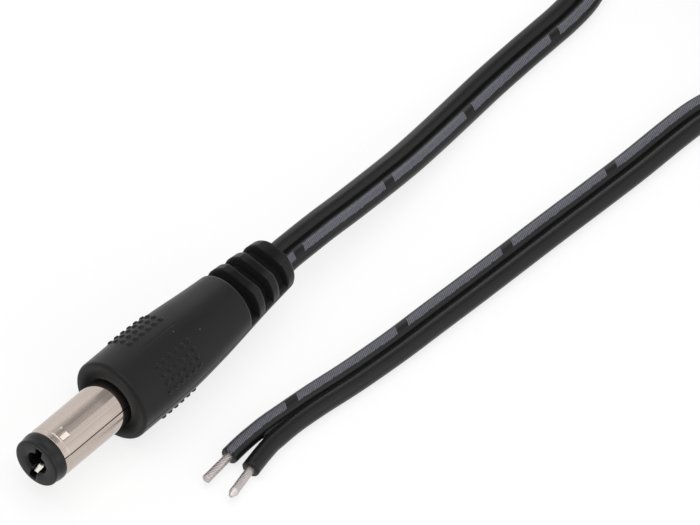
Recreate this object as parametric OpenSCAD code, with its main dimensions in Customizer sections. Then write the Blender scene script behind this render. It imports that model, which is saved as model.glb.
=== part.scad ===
// Straight dc power plug, moulded on a flat twin lead with stripped and tinned ends.
// +X runs from the plug's nose towards its lead, +Z is up, and z = 0 is the surface it lies on.
// The origin is under the middle of the plug, which spans x = -plug_l / 2 to plug_l / 2.
// Millimetres throughout.

/* [Barrel] */
// Outside diameter of the metal barrel
barrel_d = 5.5; // [4.8:0.1:6.3]
// Length of the barrel, from the nose's face to the handle's shoulder
barrel_l = 11.5; // [9.5:0.1:14]
// Wall of the metal barrel
barrel_wall = 0.35; // [0.2:0.05:0.45]
// Length of the black nose in front of the metal
nose_l = 1.6; // [1.2:0.1:2.4]
// How far the nose's collar stands proud of the metal, all round
collar_lip = 0.03; // [0:0.01:0.1]
// Diameter of the hole for the jack's centre pin
socket_d = 2.3; // [1.9:0.1:2.6]
// Length of the round hole in the nose
socket_l = 2.8; // [2:0.1:4]
// Length of the slot across the nose, from end to end
slot_l = 4.4; // [3.6:0.1:4.6]
// Width of the slot across the nose
slot_w = 0.8; // [0.6:0.05:0.85]

/* [Barrel inside] */
// Wall of the insulating tube that lines the barrel
liner_wall = 0.45; // [0.3:0.05:0.6]
// How far the barrel runs on inside the handle
anchor_l = 2.4; // [1.8:0.1:3.5]
// How far the barrel's rear flange stands out, all round
flange_h = 0.45; // [0.2:0.05:0.6]
// Thickness of the barrel's rear flange
flange_t = 0.6; // [0.4:0.1:1]
// Length of the insulating bush behind the contact
bush_l = 1.4; // [1:0.1:2]
// Length of the contact's round base
contact_base_l = 2.6; // [1.5:0.1:3.5]
// Sheet thickness of the contact's tines
tine_t = 0.3; // [0.2:0.05:0.35]
// How far the tines' tips lie behind the nose's face
tine_set_back = 0.9; // [0.5:0.1:1.4]
// Thickness of the solder tag on the barrel's flange
tag_t = 0.35; // [0.25:0.05:0.5]

/* [Handle] */
// Diameter of the handle
handle_d = 9.1; // [8.4:0.1:11]
// Length of the handle's straight grip
grip_l = 3.9; // [3:0.1:6]
// Length over which the grip curves into the taper
blend_l = 8; // [5:0.5:10]
// Length of the taper in front of the strain relief
taper_l = 5.8; // [4:0.1:8]
// Diameter of the handle's rear end
tail_d = 5.75; // [5.5:0.05:6.4]
// Rounding of the shoulder's edge
shoulder_round = 0.25; // [0.1:0.05:0.5]
// Rounding of the handle's rear edge
tail_round = 0.5; // [0.2:0.1:0.8]
// Size of the two nicks in the shoulder beside the barrel
nick = 0.5; // [0.3:0.05:0.8]

/* [Grip pattern] */
// Diameter of one pip
pip_d = 0.62; // [0.4:0.02:0.75]
// Height of one pip
pip_h = 0.18; // [0.1:0.02:0.3]
// Distance between pips along the handle
pip_pitch = 0.95; // [0.85:0.05:1.2]
// Pips in a row
pips = 6; // [3:1:7]
// Rows in each of the four patches
pip_rows = 4; // [2:1:5]
// Angle between rows
row_step = 12.6; // [11:0.1:13]
// Angle from the top of the handle to a patch's first row
first_row = 24.5; // [20:0.5:28]
// Distance from the shoulder to the first pips
pip_start = 4.1; // [2:0.1:5]

/* [Strain relief] */
// Height of the strain relief between its two flats, at its front
relief_h = 5.7; // [5.4:0.05:6]
// Angle by which each flat leans in towards the rear
relief_lean = 3.5; // [0:0.5:5]
// Slots on each side
slots = 3; // [2:1:4]
// Width of one slot
relief_slot = 1.5; // [1:0.05:1.8]
// Width of the rib between two slots
relief_rib = 1; // [0.8:0.05:1.4]
// Length of the block behind the last slot
relief_block = 1.5; // [1.2:0.05:3]
// Thickness of the two spines along the sides
spine_t = 1.7; // [1:0.1:2]
// How far the spines' middle lies below the plug's
spine_drop = 0.55; // [0:0.05:0.7]
// Cover over the lead at the bottom of the slots
relief_cover = 0.6; // [0.4:0.05:0.7]

/* [Lead] */
// Diameter of one insulated core
core_d = 1.9; // [1.6:0.1:2.1]
// Distance between the middles of the two cores
core_pitch = 1.8; // [1.5:0.1:2]
// Diameter of the stranded conductor
conductor_d = 0.86; // [0.7:0.02:1]
// Length of the tinned ends
tinned_l = 3.7; // [3:0.1:8]

/* [Coil] */
// Radius of the coil at the middle of its turns
coil_r = 18.6; // [18:0.2:21]
// Distance between neighbouring turns, outwards
turn_pitch = 1.95; // [1.9:0.05:2.2]
// Turns side by side
coil_columns = 6; // [4:1:7]
// Thickness of the wrapped tie
tie_t = 0.35; // [0.2:0.05:0.5]
// Width of the wrapped tie
tie_w = 3; // [2:0.5:5]

/* [Hidden] */
$fn = 48;

eps = 0.01;
// Gap between pieces that are pushed together
seat_gap = 0.02;

barrel_r = barrel_d / 2;
bore_r = barrel_r - barrel_wall;
liner_r = bore_r - seat_gap;
cavity_r = liner_r - liner_wall;
socket_r = socket_d / 2;
sleeve_end = barrel_l + anchor_l;
flange_r = barrel_r + flange_h;
liner_end = sleeve_end - bush_l;
// Length of the barrel's slightly smaller front lip, and how much smaller it starts
lip_l = 0.8;
lip_step = 0.07;
// How much the barrel narrows inside the handle, and the draft on the moulded nose's steps
neck_step = 0.1;
nose_draft = 0.02;
// The butt seam along the rolled barrel: its angle from the top, width and depth
seam_angle = 53;
seam_w = 0.08;
seam_depth = 0.12;

contact_r = cavity_r - seat_gap;
contact_bore_r = contact_r - tine_t;
// The tines are a little narrower than the slot, and stand just clear of the jack's pin
tine_w = slot_w - 0.1;
tine_clear = 0.02;
tine_flare = 0.22;
tail_plate = [1.2, 0.4];
tail_l = 3.4;

tag_end = sleeve_end + tag_t;
tag_hole_r = 1.15;
tab_w = 1.6;
tab_l = 3.6;

handle_r = handle_d / 2;
tail_r = tail_d / 2;
relief_l = slots * relief_slot + (slots - 1) * relief_rib + relief_block;
grip_end = barrel_l + grip_l;
relief_start = grip_end + blend_l + taper_l;
plug_l = relief_start + relief_l;
// The blend's arc turns the profile by this angle, and the taper goes on at it to the rear end
taper_turn = atan(2 * (handle_r - tail_r) / (2 * (plug_l - grip_end) - blend_l));
blend_r = blend_l / sin(taper_turn);
blend_steps = 10;
// How far the blend has drawn the handle in at a distance from the nose's face
function blend_drop(x) = blend_r - sqrt(pow(blend_r, 2) - pow(max(x - grip_end, 0), 2));

mould_r = flange_r;
mould_end = sleeve_end + 10;
strip_x = tag_end + 5.4;
joint_x = tag_end + 0.5;
cord_w = core_pitch + core_d;
core_y = core_pitch / 2;
conductor_r = conductor_d / 2;
// The tag's tab lies beside the plain core's conductor, with a film of solder between them
solder_film = 0.12;
tab_y = core_y + conductor_r + solder_film;
solder_r = 0.75;
solder_l = 2.2;
// How far the solder wraps the conductor past its middle
solder_wrap = 0.15;

turn_h = cord_w + 0.05;
coil_half_w = (coil_columns * turn_pitch) / 2;
coil_h = 2 * turn_h;
coil_centre = [108, -7];
// The lead joins the coil's outer turn along a straight tail that points this way
tail_heading = 25;
coil_tail_l = 12;
tail_turn_r = coil_r + turn_pitch * (coil_columns - 1) / 2;
tail_thick = 1.86;

// Eight-sided outlines of the flat lead and of one round core
edge_h = core_d * 0.21;
flank_w = cord_w / 2 - core_d * 0.29;
flat_section = [[cord_w / 2, edge_h], [flank_w, core_d / 2], [-flank_w, core_d / 2],
                [-cord_w / 2, edge_h], [-cord_w / 2, -edge_h], [-flank_w, -core_d / 2],
                [flank_w, -core_d / 2], [cord_w / 2, -edge_h]];
core_section = [for (k = [0 : 7]) (core_pitch / 2) * [cos(45 * k + 22.5), sin(45 * k + 22.5)]];

// Height of the flat lead's middle when it lies on the surface, rolled by an angle
function lying(roll) = max([for (s = flat_section) s[0] * sin(roll) + s[1] * cos(roll)]);
// Height of the lead's middle on its way down from the handle: share = 1 at the handle's height
function fall(share) = lying(0) + share * (handle_r - lying(0));
// The end of one of the coil's tails, or a point further out along it
function coil_join(side, layer, out) =
    let (reach = coil_tail_l + out, along = reach * cos(tail_heading), lift = reach * sin(tail_heading))
    [coil_centre[0] - along - tail_turn_r * sin(tail_heading),
     coil_centre[1] + side * (tail_turn_r * cos(tail_heading) - lift),
     tie_t + layer * turn_h + cord_w / 2, 90];
// A point before the start of a tinned end, against the way that it points
function before_tip(tip, back) = tip[0] - back * [cos(tip[1]), sin(tip[1]), 0];

// Where the two cores part, and where each tinned end starts and the way that it points
crotch = [3.6, -12.1, lying(0)];
marked_tip = [[-0.8, -11.32, core_d / 2], 188];
plain_tip = [[-0.4, -13.98, core_d / 2], 197];
leg_y = core_pitch / 2 + seat_gap;

// Routes of the lead: x, y, z and the roll of its flat section in degrees.
// The plug side leaves the handle level, comes down to the surface and turns on edge at the coil.
rear_x = plug_l / 2;
plug_route = [
    [rear_x + seat_gap, 0, handle_r, 0], [rear_x + 1.4, 0, handle_r, 0],
    [rear_x + 3.6, 0, fall(0.99), 0], [rear_x + 7.4, 0, fall(0.93), 0],
    [rear_x + 11.4, 0, fall(0.8), 0], [rear_x + 16.4, 0.1, fall(0.62), 0],
    [rear_x + 21.4, 0.3, fall(0.43), 0], [rear_x + 26.4, 0.7, fall(0.24), 0],
    [rear_x + 31.4, 1.15, fall(0.08), 0], [rear_x + 36.4, 1.5, fall(0.01), 0],
    [60, 1.65, lying(0), 0], [64, 1.7, lying(0), 0], [67, 1.75, lying(0), 0], [70, 2, lying(0), 0],
    [72.5, 2.6, lying(8), 8], [75, 3.5, lying(24), 24], [77.5, 4.6, lying(44), 44],
    [80, 5.75, lying(64), 64], [83, 7.15, lying(82) + 0.1, 82],
    coil_join(1, 0, 1), coil_join(1, 0, seat_gap)];
// The free side comes down from the coil's upper layer and ends where its cores part
free_route = [
    coil_join(-1, 1, seat_gap), coil_join(-1, 1, 1), [83.7, -21.5, 5.4, 82], [81, -20.3, 4.5, 64],
    [78.5, -19.2, 3.45, 42], [76, -18.1, 2.4, 20], [73.5, -17.05, 1.5, 5], [71, -16.2, 1.05, 0],
    [68, -15.6, lying(0), 0], [64, -15.4, lying(0), 0], [58, -15.3, lying(0), 0],
    [52, -15.05, lying(0), 0], [46, -14.75, lying(0), 0], [40, -14.5, lying(0), 0],
    [34, -14.25, lying(0), 0], [28, -13.95, lying(0), 0], [22, -13.65, lying(0), 0],
    [16, -13.15, lying(0), 0], [11, -12.55, lying(0), 0], [7, -12.2, lying(0), 0],
    crotch + [0.8, 0, 0], crotch];
// The parted cores, from the crotch to their tinned ends
marked_route = [crotch + [-seat_gap, leg_y, 0], crotch + [-0.6, leg_y, 0], [2, -10.98, core_d / 2],
                [0.9, -10.96, core_d / 2], before_tip(marked_tip, 0.8), before_tip(marked_tip, seat_gap)];
plain_route = [crotch + [-seat_gap, -leg_y, 0], crotch + [-0.6, -leg_y, 0], [2, -13.14, core_d / 2],
               [1, -13.42, core_d / 2], before_tip(plain_tip, 0.8), before_tip(plain_tip, seat_gap)];

// ---------- helpers ----------

// Moves a piece that is drawn along X from the nose's face to its place in the part's frame
module on_axis() {
    translate([-plug_l / 2, 0, handle_r]) children();
}

// A round bar along X from x0 to x1
module bar(x0, x1, r) {
    translate([x0, 0, 0]) rotate([0, 90, 0]) cylinder(h = x1 - x0, r = r);
}

// A profile of [x, r] points turned about the X axis
module turned(points) {
    rotate([0, 90, 0]) rotate_extrude() polygon([for (p = points) [p[1], p[0]]]);
}

// The flat twin lead's outline, swept straight along X
module twin(x0, x1, d = core_d) {
    for (side = [-1, 1])
        translate([0, side * core_y, 0]) bar(x0, x1, d / 2);
}

function unit(v) = v / norm(v);
function clamp_index(i, n) = max(0, min(n - 1, i));
function tangent(route, i) =
    let (n = len(route), a = route[clamp_index(i - 1, n)], b = route[clamp_index(i + 1, n)])
    unit([b[0] - a[0], b[1] - a[1], b[2] - a[2]]);
// One ring of a swept tube: the section's points set square to the route and twisted
function ring(route, i, section) =
    let (p = route[i], t = tangent(route, i), side = unit(cross([0, 0, 1], t)), up = cross(t, side),
         roll = len(p) > 3 ? p[3] : 0)
    [for (s = section)
        let (a = s[0] * cos(roll) - s[1] * sin(roll), b = s[0] * sin(roll) + s[1] * cos(roll))
        [p[0], p[1], p[2]] + a * side + b * up];

// A tube swept along a route, closed at both ends
module swept(route, section) {
    n = len(route);
    k = len(section);
    points = [for (i = [0 : n - 1]) each ring(route, i, section)];
    walls = [for (i = [0 : n - 2], j = [0 : k - 1])
        let (a = i * k + j, b = i * k + (j + 1) % k)
        each [[a, a + k, b + k], [a, b + k, b]]];
    near = [for (j = [0 : k - 1]) j];
    far = [for (j = [0 : k - 1]) (n - 1) * k + k - 1 - j];
    polyhedron(points = points, faces = concat(walls, [near, far]), convexity = 6);
}

// ---------- the plug's metal and insulators ----------

// Outside of the barrel's anchor, which narrows towards its flange so that the handle locks on it
function anchor_profile() = [[barrel_l, barrel_r], [sleeve_end - flange_t, barrel_r - neck_step],
                             [sleeve_end - flange_t, flange_r]];

// Rolled nickel-plated tube with a butt seam, a smaller front lip and a rear flange
module outer_sleeve() {
    color("#d8cfc4") on_axis() difference() {
        turned(concat([[nose_l, bore_r], [nose_l, barrel_r - lip_step], [nose_l + lip_l, barrel_r]],
                      anchor_profile(), [[sleeve_end, flange_r], [sleeve_end, bore_r]]));
        rotate([seam_angle, 0, 0])
            translate([nose_l - eps, -seam_w / 2, barrel_r - seam_depth])
                cube([barrel_l + anchor_l / 3 - nose_l, seam_w, seam_depth * 2]);
    }
}

// Outline of the nose and of the tube behind it that lines the barrel
module insulator_body() {
    rim = 0.2;
    waist_r = barrel_r - 0.15;
    turned([[0, 0], [0, waist_r - rim], [rim, waist_r], [nose_l * 0.3, waist_r + nose_draft],
            [nose_l * 0.36, waist_r + 0.07], [nose_l * 0.8, barrel_r + collar_lip],
            [nose_l - seat_gap, barrel_r + collar_lip - nose_draft], [nose_l - seat_gap, liner_r],
            [liner_end, liner_r], [liner_end, 0]]);
}

// Black nose and liner, with the countersunk pin hole and the slot that the tines spring into
module tip_insulator() {
    countersink = 0.25;
    color("#2b2b2d") on_axis() difference() {
        insulator_body();
        bar(-eps, socket_l + eps, socket_r);
        turned([[-eps, 0], [-eps, socket_r + countersink], [countersink, socket_r], [countersink, 0]]);
        translate([-eps, -slot_w / 2, -slot_l / 2]) cube([socket_l + 2 * eps, slot_w, slot_l]);
        bar(socket_l, liner_end + eps, cavity_r);
    }
}

// Side view of one tine: flared at its tip, then running back to the base
module tine_outline(base_x) {
    throat = socket_r + tine_clear;
    polygon([[tine_set_back, throat + tine_flare], [tine_set_back + 1.3, throat],
             [base_x, contact_bore_r - eps], [base_x, contact_r - eps],
             [tine_set_back + 1.3, throat + tine_t], [tine_set_back, throat + tine_flare + tine_t]]);
}

// Sprung fork contact: two tines on a round base, with a flat solder tail
module centre_contact() {
    base_x = liner_end - contact_base_l;
    color("#dcd8d0") on_axis() union() {
        difference() {
            bar(base_x, liner_end, contact_r);
            bar(base_x - eps, liner_end - 2 * tine_t, contact_bore_r);
        }
        for (side = [0, 180])
            rotate([side, 0, 0]) rotate([90, 0, 0])
                linear_extrude(height = tine_w, center = true) tine_outline(base_x + eps);
        tail_solid(0);
    }
}

// The contact's tail, grown all round by a gap where it passes through the bush
module tail_solid(gap) {
    translate([liner_end - eps, -tail_plate[1] / 2 - gap, -tail_plate[0] / 2 - gap])
        cube([sleeve_end + tail_l - liner_end, tail_plate[1] + 2 * gap, tail_plate[0] + 2 * gap]);
}

// Insulating bush that closes the barrel behind the contact
module rear_bush() {
    color("#e9e6df") on_axis() difference() {
        bar(liner_end + seat_gap, sleeve_end, liner_r);
        tail_solid(seat_gap);
    }
}

// Ring on the barrel's flange with a tab that the plain core is soldered to
module tag_solid() {
    difference() {
        bar(sleeve_end, tag_end, flange_r);
        bar(sleeve_end - eps, tag_end + eps, tag_hole_r);
    }
    translate([tag_end - eps, tab_y, -tab_w / 2]) cube([tab_l, tag_t, tab_w]);
}

module sleeve_tag() {
    color("#cfc7bb") on_axis() tag_solid();
}

// Solder that joins one core's conductor to a flat face at face_y
module solder_fillet(side, face_y) {
    y = side * core_y;
    low = y - solder_wrap;
    end_r = solder_r * 0.6;
    taper = 0.4;
    difference() {
        intersection() {
            translate([joint_x, (y + face_y) / 2, 0])
                turned([[0, 0], [0, end_r], [taper, solder_r], [solder_l - taper, solder_r],
                        [solder_l, end_r], [solder_l, 0]]);
            translate([joint_x, low, -solder_r]) cube([solder_l, face_y - low, 2 * solder_r]);
        }
        conductor(side);
    }
}

// Solder between the marked core and the contact's tail
module solder_centre() {
    color("#bfc2c4") on_axis() solder_fillet(-1, -tail_plate[1] / 2);
}

// Solder between the plain core and the tag's tab
module solder_sleeve() {
    color("#bfc2c4") on_axis() solder_fillet(1, tab_y);
}

// ---------- the lead inside the plug ----------

module conductor(side) {
    translate([0, side * core_y, 0]) bar(joint_x, plug_l, conductor_r);
}

module conductor_marked() {
    color("#c9ccce") on_axis() conductor(-1);
}

module conductor_plain() {
    color("#c9ccce") on_axis() conductor(1);
}

// The lead's insulation inside the plug: two cores joined by their web
module cord_in_plug() {
    color("#1f1f21") on_axis() difference() {
        twin(strip_x, plug_l);
        twin(strip_x - eps, plug_l + eps, conductor_d + 2 * seat_gap);
    }
}

// Stiff moulding that holds the soldered joints before the handle goes over it
module inner_mould() {
    color("#f0ede4") on_axis() difference() {
        bar(tag_end, mould_end, mould_r);
        tail_solid(0);
        translate([tag_end - eps, tab_y, -tab_w / 2]) cube([tab_l, tag_t, tab_w]);
        solder_fillet(-1, -tail_plate[1] / 2);
        solder_fillet(1, tab_y);
        conductor(-1);
        conductor(1);
        twin(strip_x, mould_end + eps);
    }
}

// ---------- the handle ----------

// Outline of the handle as [x, r] points, from the shoulder to the rear end
function handle_profile() = concat(
    [[barrel_l, 0], [barrel_l, handle_r - shoulder_round]],
    [for (k = [1 : 4]) [barrel_l + shoulder_round * (1 - cos(22.5 * k)),
                        handle_r - shoulder_round * (1 - sin(22.5 * k))]],
    [for (k = [0 : blend_steps])
        let (a = taper_turn * k / blend_steps)
        [grip_end + blend_r * sin(a), handle_r - blend_r * (1 - cos(a))]],
    [[plug_l - tail_round, tail_r + tail_round * tan(taper_turn)]],
    [for (k = [1 : 4]) [plug_l - tail_round * (1 - sin(22.5 * k)),
                        tail_r - tail_round * (1 - cos(22.5 * k))]],
    [[plug_l, 0]]);

// Four patches of pips: rows round the handle on each side, above and below, pips along it
module grip_pips() {
    for (half = [0, 180], side = [-1, 1], row = [0 : pip_rows - 1], k = [0 : pips - 1])
        let (x = barrel_l + pip_start + k * pip_pitch)
            rotate([half + side * (first_row + row * row_step), 0, 0])
                translate([x, 0, handle_r - blend_drop(x) - pip_h])
                    cylinder(h = 2 * pip_h, r1 = pip_d / 2 + 0.05, r2 = pip_d / 2 - 0.1, $fn = 16);
}

// Everything that the slots leave standing: the cover round the lead and the two side spines
module relief_core() {
    cover_d = core_d + 2 * relief_cover;
    twin(relief_start, plug_l, cover_d);
    translate([relief_start, -core_y, -cover_d / 2]) cube([relief_l, core_pitch, cover_d]);
    translate([relief_start, -handle_r, -spine_drop - spine_t / 2])
        cube([relief_l, handle_d, spine_t]);
}

module relief_cuts() {
    difference() {
        for (k = [0 : slots - 1])
            translate([relief_start + k * (relief_slot + relief_rib), -handle_r, -handle_r])
                cube([relief_slot, handle_d, handle_d]);
        relief_core();
    }
}

// Flats above and below the ribs of the strain relief
module relief_flats() {
    for (side = [0, 180])
        rotate([side, 0, 0])
            translate([relief_start + relief_slot / 2, -handle_r, relief_h / 2])
                rotate([0, relief_lean, 0]) cube([relief_l, handle_d, handle_r]);
}

// Nicks at the mould's parting line, beside the barrel
module shoulder_nicks() {
    for (side = [0, 180])
        rotate([side, 0, 0])
            translate([barrel_l - eps, barrel_r - eps, 0]) rotate([0, 90, 0])
                linear_extrude(height = nick)
                    polygon([[-nick / 2, 0], [nick / 2, 0], [0, nick]]);
}

// Soft moulded handle with its grip pips and slotted strain relief, in one piece
module handle() {
    color("#29292b") on_axis() difference() {
        union() {
            turned(handle_profile());
            grip_pips();
        }
        turned(concat([[barrel_l - eps, 0], [barrel_l - eps, barrel_r]], anchor_profile(),
                      [[mould_end, mould_r], [mould_end, 0]]));
        twin(mould_end - eps, plug_l + eps);
        shoulder_nicks();
        relief_cuts();
        relief_flats();
    }
}

// ---------- the lead outside the plug ----------

module cord_plug_run() {
    color("#1f1f21") swept(plug_route, flat_section);
}

module cord_free_run() {
    color("#1f1f21") swept(free_route, flat_section);
}

// Straight stretch by which the lead leaves the coil's outer turn, in one of its two layers
module coil_tail(side, layer) {
    translate([coil_centre[0], coil_centre[1], tie_t + layer * turn_h])
        mirror([0, side < 0 ? 1 : 0, 0]) rotate([0, 0, tail_heading])
            translate([-coil_tail_l, tail_turn_r - tail_thick / 2, 0])
                cube([coil_tail_l, tail_thick, cord_w]);
}

// Outer shape of the wound turns, in two layers
module cord_coil() {
    corner = 0.6;
    lo = coil_r - coil_half_w;
    hi = coil_r + coil_half_w;
    color("#1f1f21") union() {
        translate([coil_centre[0], coil_centre[1], tie_t])
            rotate_extrude() polygon([[lo, corner], [lo + corner, 0], [hi - corner, 0], [hi, corner],
                                      [hi, coil_h - corner], [hi - corner, coil_h],
                                      [lo + corner, coil_h], [lo, coil_h - corner]]);
        coil_tail(1, 0);
        coil_tail(-1, 1);
    }
}

// Two ties wrapped round the turns
module coil_ties() {
    // The tie is straight across the curved turns, so its inner side stands a little further in
    inner = sqrt(pow(coil_r - coil_half_w, 2) - pow(tie_w / 2, 2)) - seat_gap;
    outer = coil_r + coil_half_w + seat_gap;
    tall = coil_h + 2 * seat_gap;
    color("#3a3a3c") for (turn = [100, 280])
        translate([coil_centre[0], coil_centre[1], tie_t - seat_gap]) rotate([0, 0, turn])
            difference() {
                translate([inner - tie_t, -tie_w / 2, -tie_t + seat_gap])
                    cube([outer - inner + 2 * tie_t, tie_w, tall + 2 * tie_t - seat_gap]);
                translate([inner, -tie_w, 0]) cube([outer - inner, 2 * tie_w, tall]);
            }
}

module leg_marked() {
    color("#1f1f21") swept(marked_route, core_section);
}

module leg_plain() {
    color("#1f1f21") swept(plain_route, core_section);
}

// A tinned end with a blunt point
module tinned_tip(place) {
    point_l = 0.5;
    translate(place[0]) rotate([0, 0, place[1]])
        turned([[0, 0], [0, conductor_r], [tinned_l - point_l, conductor_r],
                [tinned_l, conductor_r * 0.5], [tinned_l, 0]]);
}

module tinned_tip_marked() {
    color("#c9ccce") tinned_tip(marked_tip);
}

module tinned_tip_plain() {
    color("#c9ccce") tinned_tip(plain_tip);
}

outer_sleeve();
tip_insulator();
centre_contact();
rear_bush();
sleeve_tag();
solder_centre();
solder_sleeve();
conductor_marked();
conductor_plain();
cord_in_plug();
inner_mould();
handle();
cord_plug_run();
cord_coil();
coil_ties();
cord_free_run();
leg_marked();
leg_plain();
tinned_tip_marked();
tinned_tip_plain();
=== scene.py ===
# %% [markdown]
# # A dc power plug on a flat twin lead
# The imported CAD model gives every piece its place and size, and this file dresses it, each cell
# making one thing. Lengths are worked out in millimetres, as on a drawing, and turned into metres
# only when a mesh is made.

import bmesh
import bpy
import numpy as np
from mathutils import Matrix, Vector


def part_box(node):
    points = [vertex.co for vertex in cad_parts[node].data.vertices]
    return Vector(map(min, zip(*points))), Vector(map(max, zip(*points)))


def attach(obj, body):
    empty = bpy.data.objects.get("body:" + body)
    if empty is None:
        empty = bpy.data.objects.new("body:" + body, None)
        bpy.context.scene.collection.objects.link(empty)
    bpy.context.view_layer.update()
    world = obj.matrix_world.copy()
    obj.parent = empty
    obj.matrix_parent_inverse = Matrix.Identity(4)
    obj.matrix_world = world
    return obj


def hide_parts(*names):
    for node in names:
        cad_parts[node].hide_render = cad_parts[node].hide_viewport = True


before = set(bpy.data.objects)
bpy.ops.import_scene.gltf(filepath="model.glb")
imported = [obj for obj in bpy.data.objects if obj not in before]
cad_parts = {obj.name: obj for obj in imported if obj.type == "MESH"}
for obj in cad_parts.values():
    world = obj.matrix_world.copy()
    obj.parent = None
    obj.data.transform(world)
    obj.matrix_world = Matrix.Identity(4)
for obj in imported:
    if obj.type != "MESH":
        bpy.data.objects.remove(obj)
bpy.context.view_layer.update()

MM = 0.001

# %% [markdown]
# ## Where the plug is
# The plug lies along X, its nose towards -X. Two boxes of the CAD model give the places to measure
# from: the nose's face, the handle's rear end and the axis, at half of the handle's height.

# %% Places from the CAD model
nose_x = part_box("tip_insulator")[0].x / MM
handle_low, handle_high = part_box("handle")
axis_z = (handle_low.z + handle_high.z) / 2 / MM

# %% [markdown]
# ## The camera
# A product picture is taken from far away with a long lens, so parallel lines stay almost
# parallel. Three directions set the camera: towards it, the picture's right and, square to both,
# its up.

# %% Camera
TOWARDS_CAMERA = Vector((-0.55028, -0.29688, 0.78042)).normalized()
PICTURE_RIGHT = Vector((0.64061, -0.74959, 0.16654)).normalized()
LOOKS_AT = Vector((12.187, -11.572, 21.838)) * MM
FIELD_WIDTH = 69.685 * MM
CAMERA_DISTANCE = 2.3


def new_object(name, data):
    """An object that shows this data, placed in the scene."""
    made = bpy.data.objects.new(name, data)
    bpy.context.scene.collection.objects.link(made)
    return made


def make_camera():
    """Camera axes as columns: right, up and backwards. The lens is the sensor's width times the
    distance over the width of the field."""
    right = (PICTURE_RIGHT - TOWARDS_CAMERA * PICTURE_RIGHT.dot(TOWARDS_CAMERA)).normalized()
    up = TOWARDS_CAMERA.cross(right)
    data = bpy.data.cameras.new("camera")
    data.sensor_width = 36
    data.lens = data.sensor_width * CAMERA_DISTANCE / FIELD_WIDTH
    data.clip_end = 100
    camera = new_object("camera", data)
    camera.matrix_world = Matrix(list(zip(right, up, TOWARDS_CAMERA))).to_4x4()
    camera.location = LOOKS_AT + TOWARDS_CAMERA * CAMERA_DISTANCE
    bpy.context.scene.camera = camera
    return camera


camera = make_camera()
print("camera at", [round(c, 3) for c in camera.location], "lens", round(camera.data.lens))

# %% [markdown]
# ## A surface from a grid
# Every piece here is a grid of points: rows run along the piece and columns run round it. One
# helper turns such a grid into a mesh. Each face joins four neighbours, and where a grid wraps
# round, its first line comes again after the last. A UV pair at each corner lets a print follow
# the surface.

# %% Grid helpers
def quads(grid):
    """Every face's corners in a grid of numbers: (i, j), (i + 1, j), (i + 1, j + 1), (i, j + 1)."""
    return np.stack([grid[:-1, :-1], grid[1:, :-1], grid[1:, 1:], grid[:-1, 1:]], axis=2)


def make_piece(name, grids, material):
    """One object from several grids. Each grid is a dict with points in millimetres, shaped rows,
    columns and 3, whether its rows and columns wrap, and its UV grid, which has one more line on
    a side that wraps. Doubles are merged, so poles and seams close, and faces turn outwards."""
    points, corners, uvs, start = [], [], [], 0
    for g in grids:
        rows, columns = g["points"].shape[:2]
        extra = [(0, int(wraps)) for wraps in g.get("wrap", (False, True))]
        numbers = np.arange(rows * columns).reshape(rows, columns) + start
        numbers = np.pad(numbers, extra, mode="wrap")
        points.append(g["points"].reshape(-1, 3))
        corners.append(quads(numbers).reshape(-1, 4))
        uvs.append(quads(g.get("uv", np.zeros((*numbers.shape, 2)))).reshape(-1, 2))
        start += rows * columns
    points, corners, uvs = np.concatenate(points) * MM, np.concatenate(corners), np.concatenate(uvs)
    mesh = bpy.data.meshes.new(name)
    mesh.from_pydata(points.tolist(), [], corners.tolist())
    mesh.uv_layers.new(name="UVMap").data.foreach_set("uv", uvs.astype(np.float32).ravel())
    bm = bmesh.new()
    bm.from_mesh(mesh)
    bmesh.ops.remove_doubles(bm, verts=bm.verts, dist=1e-7)
    bmesh.ops.dissolve_degenerate(bm, edges=bm.edges, dist=1e-8)
    bmesh.ops.recalc_face_normals(bm, faces=bm.faces)
    bm.to_mesh(mesh)
    bm.free()
    mesh.polygons.foreach_set("use_smooth", np.full(len(mesh.polygons), True))
    mesh.materials.append(material)
    piece = new_object(name, mesh)
    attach(piece, "root")
    print(name, "has", len(mesh.polygons), "faces")
    return piece


def around_axis(x, r, turn):
    """Points of a body turned about the plug's axis. turn is the angle in degrees from the top
    towards -Y: y = -r sin(turn), z = axis height + r cos(turn)."""
    angle = np.radians(turn)
    x, r, angle = np.broadcast_arrays(x, r, angle)
    return np.stack([x, -r * np.sin(angle), axis_z + r * np.cos(angle)], axis=-1)


def round_distance(turn, middle, r):
    """Distance in mm between two turns on a circle of radius r, the shorter way round."""
    return np.abs(np.radians((turn - middle + 180) % 360 - 180)) * r


def unsigned(turn):
    """Sine and cosine of a turn, without their signs."""
    return np.abs(np.sin(np.radians(turn))), np.abs(np.cos(np.radians(turn)))


def circle(count):
    """Even angles round a circle, in radians."""
    return np.linspace(0, 2 * np.pi, count, endpoint=False)


def turn_samples(step, dense=()):
    """Angles round a full turn, in even steps, with extra ones round each (middle, reach, step)."""
    angles = [np.arange(0, 360, step)]
    for middle, reach, fine in dense:
        angles.append((middle + np.arange(-reach, reach + fine / 2, fine)) % 360)
    return np.unique(np.round(np.concatenate(angles), 3))


# %% [markdown]
# ## Finishes
# Every finish is a small node tree on a Principled shader, and plain numbers stay on the shader's
# own sockets. Noise on Object coordinates gives each surface the unevenness that a real one has:
# flow marks in plastic, drawing lines in metal, dust.

# %% Material helpers
def finish(name, color, roughness, **sockets):
    """A material with one Principled shader, its node tree and that shader."""
    material = bpy.data.materials.new(name)
    material.use_nodes = True
    tree = material.node_tree
    shader = tree.nodes["Principled BSDF"]
    shader.inputs["Base Color"].default_value = (*color, 1)
    shader.inputs["Roughness"].default_value = roughness
    for socket, value in sockets.items():
        shader.inputs[socket.replace("_", " ")].default_value = value
    return material, tree, shader


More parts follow.
